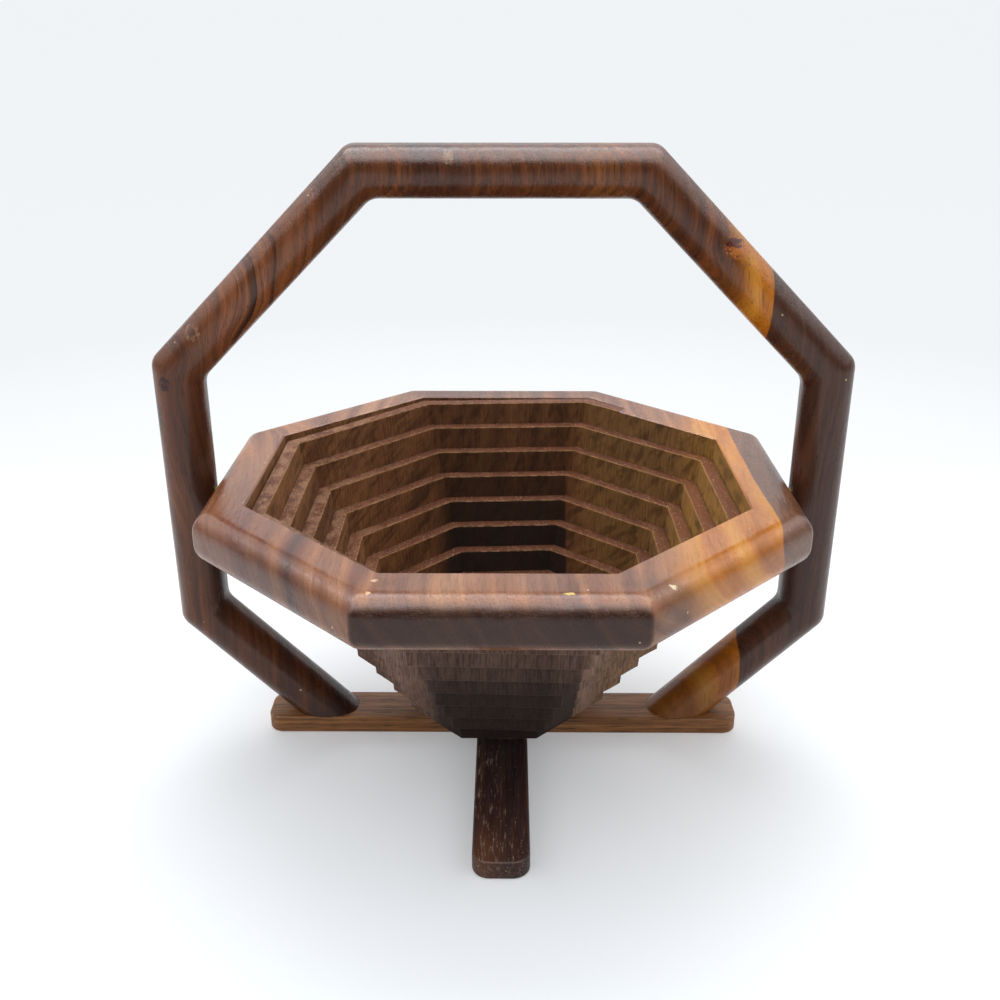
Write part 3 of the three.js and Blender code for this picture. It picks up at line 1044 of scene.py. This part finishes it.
def lacquered(name, streaks, bands, tones, marks, surface, end_and_shade_darkness, contrast):
    """Sanded and oiled walnut. Its marks are near one surface, at a depth of the board in millimetres."""
    material, graph = new_material(name)
    board = Board(graph, LACQUERED_TILT, streaks)
    golden = board.golden()
    wood = walnut_colour(graph, board, golden, bands, tones, contrast)
    # Faces across the grain are darkened: the end grain's own colour, and on the rim also painted shade for
    # its front face, which is turned from the light
    end = graph.smooth(graph.absolute(graph.split(graph.stored("board_normal"))[1]), *END_GRAIN_AND_SHADE_STEP)
    end_and_shade_share = graph.smooth(golden, 0, 1, end_and_shade_darkness, end_and_shade_darkness * SAPWOOD_END_AND_SHADE_SHARE)
    wood = graph.mix(graph.product(end, end_and_shade_share), wood, colour(END_GRAIN_AND_SHADE_COLOUR))
    wood = graph.stain(wood, board.pores, contrast * PORE_STRENGTH, PORE_COLOUR)
    wood = graph.stain(wood, graph.specks(board.place, *DUST), *DUST_STAIN)
    graph.shade("Base Color", marked(graph, board, wood, marks, surface))
    smear = graph.grain(board.place, *SMEAR)
    graph.shade("Roughness", graph.smooth(smear, *LACQUER_ROUGHNESS))
    graph.relief((board.pores, PORE_RELIEF), (smear, HAND_RELIEF), (board.lines, LINE_RELIEF))
    graph.shade("Specular IOR Level", LACQUER_SPECULAR)
    return material


def wall_colour(graph, board, golden, along, outwards, marks):
    """The sawn walls. along is how far a wall faces along the grain, and outwards is 1 on outer walls, whose
    greyer colours are the wood with a painted sheen.
    """
    inside = graph.ramp(board.bands, WALL_BANDS)
    inside = graph.stain(inside, graph.smooth(board.x, *RIGHT_WALL_STEP), *RIGHT_WALL_STAIN)
    inside = graph.stain(inside, golden, *GOLDEN_WALL_STAIN)
    # Outer walls: wood colours greyed by a painted sheen
    outside = graph.ramp(board.bands, OUTSIDE_WOOD_AND_SHEEN_BANDS)
    outside = graph.stain(outside, graph.smooth(board.x, *RIGHT_OUTSIDE_STEP), *RIGHT_OUTSIDE_STAIN)
    wall = graph.mix(outwards, inside, outside)
    place = graph.join(board.ring, board.y, board.z)
    flame = graph.grain(place, *FLAMES, distortion=FLAME_DISTORTION)
    end = graph.power(graph.absolute(along), SAWN_END_SHARPNESS)
    layers = (flame, board.dark_zone(), end, marks)
    for layer, (inner, outer, code) in zip(layers, WALL_LAYERS):
        wall = graph.stain(wall, layer, graph.smooth(outwards, 0, 1, inner, outer), code)
    return wall


def ledge_colour(graph, board, golden):
    """The rubbed top of the strip, with a painted sheen that makes it palest at the left."""
    fibres = graph.grain(board.place, *FIBRES)
    ledge = graph.ramp(graph.blend(BANDS_IN_LEDGE_SHARE, fibres, board.bands), LEDGE_BANDS)
    ledge = graph.stain(ledge, golden, *GOLDEN_LEDGE_STAIN)
    # Painted sheen: a pale mottled stain on the ledges at the left
    pale = graph.product(graph.smooth(board.x, *PAINTED_SHEEN_LEDGE_ZONE), graph.grain(board.place, *MOTTLE))
    ledge = graph.stain(ledge, pale, *PAINTED_SHEEN_LEDGE_STAIN)
    return graph.stain(ledge, graph.specks(board.place, *LEDGE_DUST), *LEDGE_DUST_STAIN)


def sawn(name):
    """The coil's walls, left as the saw cut them, and its rubbed ledges, with a painted highlight along their
    inner edges.
    """
    material, graph = new_material(name)
    board = Board(graph, SAWN_TILT, STREAKS)
    golden = board.golden()
    nx, ny, nz = graph.split(graph.stored("board_normal"))
    away = graph.sum(graph.product(nx, board.x), graph.product(ny, board.y))
    outwards = graph.smooth(away, *OUTWARDS_STEP)
    level = graph.absolute(nz)
    marks = graph.grain(board.place, *SAW_MARKS)
    wall = wall_colour(graph, board, golden, ny, outwards, marks)
    wood = graph.mix(graph.smooth(level, *LEDGE_STEP), wall, ledge_colour(graph, board, golden))
    # Painted highlight: a pale line on the eased inner edges of the ledges, broken up by noise
    edge_highlight = graph.product(graph.smooth(level, *EDGE_HIGHLIGHT_FROM_STEP), graph.smooth(level, *EDGE_HIGHLIGHT_TO_STEP))
    edge_highlight = graph.product(edge_highlight, graph.smooth(outwards, *DOWNWARDS))
    rubbed = graph.grain(board.place, *EDGE_HIGHLIGHT_BREAKS)
    graph.shade("Base Color", graph.mix(graph.product(edge_highlight, rubbed), wood, colour(EDGE_HIGHLIGHT_COLOUR)))
    graph.shade("Roughness", graph.smooth(level, *SAWN_ROUGHNESS))
    graph.relief((marks, SAW_MARK_RELIEF), (graph.grain(board.place, *GRIT), GRIT_RELIEF))
    graph.shade("Specular IOR Level", SAWN_SPECULAR)
    return material


def foot_wood(name, bands, tones, scuffed):
    """Open-pored bars, sanded and not lacquered. scuffed is how far pale scuffs show."""
    material, graph = new_material(name)
    place = in_board(graph)
    pores = graph.grain(place, *FOOT_PORES)
    wood = graph.stain(graph.ramp(graph.grain(place, *FOOT_GRAIN), bands), pores, *FOOT_PORE_STAIN)
    wood = toned(graph, graph.split(place), wood, tones)
    scuffs = graph.product(graph.grain(place, *SCUFFS), graph.grain(place, *FOOT_RUBBED))
    scuffs = graph.sum(scuffs, graph.specks(place, *FOOT_DUST))
    graph.shade("Base Color", graph.stain(wood, scuffs, scuffed, SCUFF_COLOUR))
    graph.shade("Roughness", FOOT_ROUGHNESS)
    graph.shade("Specular IOR Level", FOOT_SPECULAR)
    graph.relief((pores, FOOT_PORE_RELIEF))
    return material


def dowel_wood():
    """Pale, straight-grained pins."""
    material, graph = new_material("dowel_birch")
    grain = graph.grain(in_board(graph), *DOWEL_GRAIN)
    graph.shade("Base Color", graph.ramp(grain, DOWEL_BANDS))
    graph.shade("Roughness", DOWEL_ROUGHNESS)
    graph.relief((grain, DOWEL_RELIEF))
    return material


def screw_steel():
    """Turned steel, with fine rings from the tool."""
    material, graph = new_material("screw_steel")
    turning = graph.grain(graph.scaled(graph.position(), (1 / MM,) * 3), *STEEL_GRAIN)
    graph.shade("Base Color", graph.ramp(turning, STEEL_BANDS))
    graph.shade("Metallic", 1)
    graph.shade("Roughness", graph.smooth(turning, *STEEL_ROUGHNESS))
    return material


def sweep_white():
    """White near the object, with a faint painted glow that lightens the shadows there, and an even pale glow
    away from it, a little brighter nearer by.
    """
    material, graph = new_material("sweep_white")
    aside, depth = graph.split(graph.position())[:2]
    far = graph.smooth(graph.absolute(aside), *ASIDE_STEP)
    for start, end in DEPTH_EDGES:
        beyond = graph.smooth(graph.product(depth, 1 / end), start / end, 1)
        far = graph.blend(far, beyond, 1)
    squares = graph.sum(graph.product(aside, aside), graph.product(depth, depth))
    distance = graph.power(squares, 1 / 2)
    glow = graph.smooth(distance, *GLOW_STEP, MIDDLE_GLOW, FAR_GLOW)
    graph.shade("Base Color", graph.mix(far, colour(NEAR_COLOUR), colour(FAR_COLOUR)))
    graph.shade("Emission Color", colour(GLOW_COLOUR))
    graph.shade("Emission Strength", graph.blend(far, NEAR_GLOW, glow))
    graph.shade("Roughness", SWEEP_ROUGHNESS)
    graph.shade("Specular IOR Level", 0)
    return material


# Putting pieces on the frame


def dress(piece, material, slot, *nodes):
    piece.data.materials.append(material)
    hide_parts(*nodes)


def add_rigid(piece, body, material, slot, node):
    dress(piece, material, slot, node)
    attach(piece, body)


def give_material(node, material):
    """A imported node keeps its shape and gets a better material."""
    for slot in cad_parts[node].material_slots:
        slot.link = "OBJECT"
        slot.material = material


# Camera, light and floor


def make_camera():
    data = bpy.data.cameras.new("camera")
    data.lens = CAMERA_LENS
    data.sensor_width = SENSOR_WIDTH
    camera = add_object("camera", data)
    camera.location = CAMERA_PLACE
    camera.rotation_euler = (math.radians(90 - CAMERA_PITCH), 0, math.radians(CAMERA_YAW))
    bpy.context.scene.camera = camera


def make_light(name, size, power, place):
    """A lamp that faces the middle of the pivot's line and isn't seen in gloss."""
    data = bpy.data.lights.new(name, "AREA")
    data.shape = "RECTANGLE"
    data.size, data.size_y = size
    data.energy = power
    light = add_object(name, data)
    light.location = place
    light.visible_glossy = False
    direction = Vector((0, 0, PIVOT)) - Vector(place)
    light.rotation_euler = direction.to_track_quat("-Z", "Y").to_euler()


def make_sweep():
    """A white floor that curves up into a backdrop."""
    quarter = arc(SWEEP_STEPS)
    line = [(-SWEEP_FRONT, 0)]
    line += [(SWEEP_BACK + SWEEP_ROUND * s, SWEEP_ROUND * (1 - c)) for c, s in quarter]
    line.append((SWEEP_BACK + SWEEP_ROUND, SWEEP_HEIGHT))
    points = [(side * SWEEP_WIDTH / 2, y, z) for y, z in line for side in (-1, 1)]
    faces = [(2 * n, 2 * n + 1, 2 * n + 3, 2 * n + 2) for n in range(len(line) - 1)]
    mesh = make_mesh("sweep", points, faces)
    mesh.shade_smooth()
    mesh.materials.append(sweep_white())
    sweep = add_object("sweep", mesh)


def make_world():
    """Light from all round, dim from the front and bright from above and behind. The camera sees a plain
    pale tone. Gloss sees a darker front than matt surfaces do, and a bright ceiling with a strip lamp across
    it. Their leans are degrees to the front from straight up: where each begins, is full, is full still, and
    ends."""
    world = bpy.data.worlds.new("studio")
    world.use_nodes = True
    graph = Graph(world.node_tree)
    x, y, z = graph.split(graph.add("ShaderNodeTexCoord", {}).outputs["Generated"])
    rays = graph.add("ShaderNodeLightPath", {}).outputs
    behind = graph.smooth(graph.sum(y, graph.product(z, BACK_LEAN)), *BACK_STEP)
    lean = graph.arctangent(graph.product(y, -1), z)
    middle = graph.smooth(graph.absolute(x), *LAMP_WIDTH_STEP)
    ceiling = graph.product(graph.window(lean, CEILING_LEANS), middle)
    strip = graph.product(graph.window(lean, STRIP_LEANS), middle)
    high = graph.smooth(z, *HIGH_STEP)
    matt = graph.blend(behind, FRONT_STRENGTH, BACK_STRENGTH)
    gloss = graph.blend(high, LOW_BACK_GLOSS_STRENGTH, HIGH_BACK_GLOSS_STRENGTH)
    gloss = graph.blend(behind, FRONT_GLOSS_STRENGTH, gloss)
    gloss = graph.blend(ceiling, gloss, CEILING_STRENGTH)
    gloss = graph.blend(strip, gloss, STRIP_STRENGTH)
    lit = graph.blend(rays["Is Glossy Ray"], matt, gloss)
    seen = graph.blend(rays["Is Camera Ray"], lit, BACKGROUND_STRENGTH)
    background = world.node_tree.nodes["Background"]
    graph.give(background.inputs["Color"], colour(STUDIO_COLOUR))
    graph.give(background.inputs["Strength"], seen)
    bpy.context.scene.world = world


def make_studio():
    make_sweep()
    make_world()
    for light in LIGHTS:
        make_light(*light)
    bpy.context.scene.view_settings.view_transform = "Standard"


make_camera()
make_studio()

frame_look = (STREAKS, FRAME_BANDS, FRAME_TONES_AND_SHADE, FRAME_MARKS, FRAME_FRONT, *FRAME_DARKNESS)
rim_look = (RIM_STREAKS, RIM_BANDS, RIM_TONES_AND_SHADE, RIM_MARKS, 0, *RIM_DARKNESS)
frame_walnut = lacquered("frame_walnut", *frame_look)
rim_walnut = lacquered("rim_walnut", *rim_look)
coil_walnut = sawn("coil_walnut")
foot_bar_walnut = foot_wood("foot_bar_walnut", FOOT_BAR_BANDS, (), FOOT_BAR_SCUFFS)
cross_foot_walnut = foot_wood("cross_foot_walnut", CROSS_FOOT_BANDS, CROSS_FOOT_TONES, CROSS_FOOT_SCUFFS)
dowel = dowel_wood()
steel = screw_steel()

add_rigid(make_handle(), "stand", frame_walnut, "frame_wood", "handle_frame")
rim = make_rim()
add_rigid(rim, "bowl", rim_walnut, "rim_wood", "rim")
give_wall(rim, coil_walnut)
make_coil(coil_walnut)
add_rigid(make_bottom(), "bottom", coil_walnut, "coil_wood", "basket_bottom")
add_rigid(make_foot("foot_left_right", True), "stand", foot_bar_walnut, "foot_bar_wood", "foot_bar")
add_rigid(make_foot("foot_front_back", False), "stand", cross_foot_walnut, "cross_foot_wood", "cross_foot")
for place, side in (("left", -1), ("right", 1)):
    add_rigid(make_pin(f"pin_{place}", side), "stand", dowel, "dowel_wood", f"pivot_pin_{place}")
for node in ("leg_screw_left", "leg_screw_right", "lap_screw"):
    give_material(node, steel)
